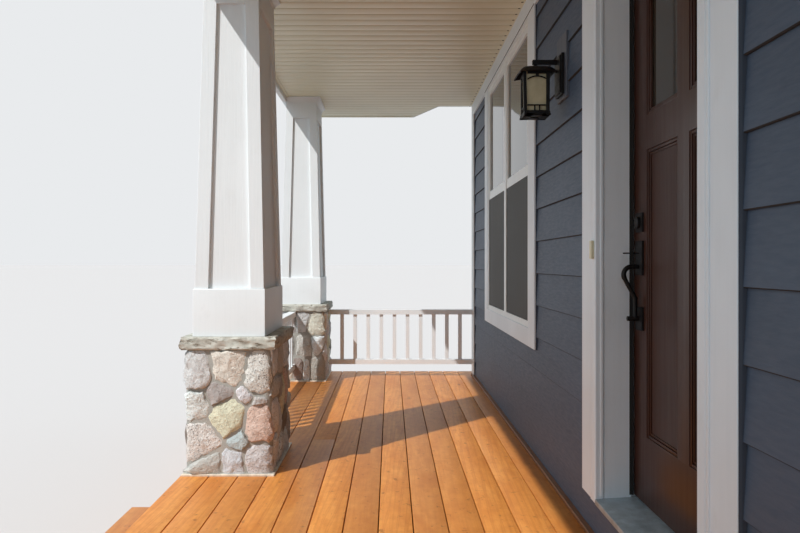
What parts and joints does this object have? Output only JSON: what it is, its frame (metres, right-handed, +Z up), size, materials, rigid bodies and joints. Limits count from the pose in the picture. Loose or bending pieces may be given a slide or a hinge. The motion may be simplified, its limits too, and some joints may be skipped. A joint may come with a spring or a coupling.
{
  "type": "front porch",
  "caption": "Covered entrance porch on a house wall: plank floor and steps, stone piers with tapered columns, railings, lean-to roof, panelled door that opens, window and wall lantern.",
  "frame": {"origin": "on the ground, under the middle of the whole porch's box", "axes": "+X along the house wall towards the door end, -Y to the street, +Z up"},
  "size_m": [7.532, 2.5876, 3.9388],
  "materials": {
    "deck_wood": "stained",
    "frame_lumber": "rough sawn",
    "concrete": "cast",
    "fieldstone": "split fieldstone in grey mortar",
    "limestone": "sawn top, split edges",
    "white_paint": "painted",
    "soffit_vinyl": "satin",
    "asphalt_shingle": "mineral granules",
    "blue_siding": "painted lap siding",
    "window_white": "satin",
    "clear_glass": "polished",
    "screen_mesh": "dark mesh",
    "door_brown": "stained and varnished",
    "sill_grey": "satin",
    "black_metal": "satin black",
    "lamp_glass": "seeded cream",
    "ivory_plastic": "gloss"
  },
  "bodies": {
    "porch": {"deck_floor": "deck_wood", "deck_skirt": "deck_wood", "step_treads": "deck_wood", "step_risers": "deck_wood", "wall_strip": "deck_wood", "deck_frame": "frame_lumber", "step_stringers": "frame_lumber", "roof_boards": "frame_lumber", "pier_footings": "concrete", "foundation": "concrete", "stone_piers": "fieldstone", "pier_caps": "limestone", "column_plinths": "white_paint", "column_shafts": "white_paint", "column_capitals": "white_paint", "front_railing": "white_paint", "far_railing": "white_paint", "near_railing": "white_paint", "front_fascia": "white_paint", "roof_ends": "white_paint", "corner_boards": "white_paint", "frieze_board": "white_paint", "window_casings": "white_paint", "door_casings": "white_paint", "door_brickmould": "white_paint", "door_jambs": "white_paint", "porch_ceiling": "soffit_vinyl", "shingles": "asphalt_shingle", "house_wall": "blue_siding", "wall_at_window": "blue_siding", "wall_at_door": "blue_siding", "lantern_block": "blue_siding", "window_frames": "window_white", "window_sashes": "window_white", "window_glass": "clear_glass", "window_screens": "screen_mesh", "door_threshold": "sill_grey", "jamb_hinges": "black_metal", "lantern_frame": "black_metal", "lantern_glass": "lamp_glass", "doorbell": "ivory_plastic"},
    "door": {"door_leaf": "door_brown", "door_lights": "clear_glass", "door_lockset": "black_metal", "leaf_hinges": "black_metal"}
  },
  "joints": [
    {"name": "door_hinge", "type": "hinge", "parent": "porch", "child": "door", "pos_m": [1.9125, 1.23125, 0.647], "axis": [0, 0, -1], "range_deg": [0, 110]}
  ]
}
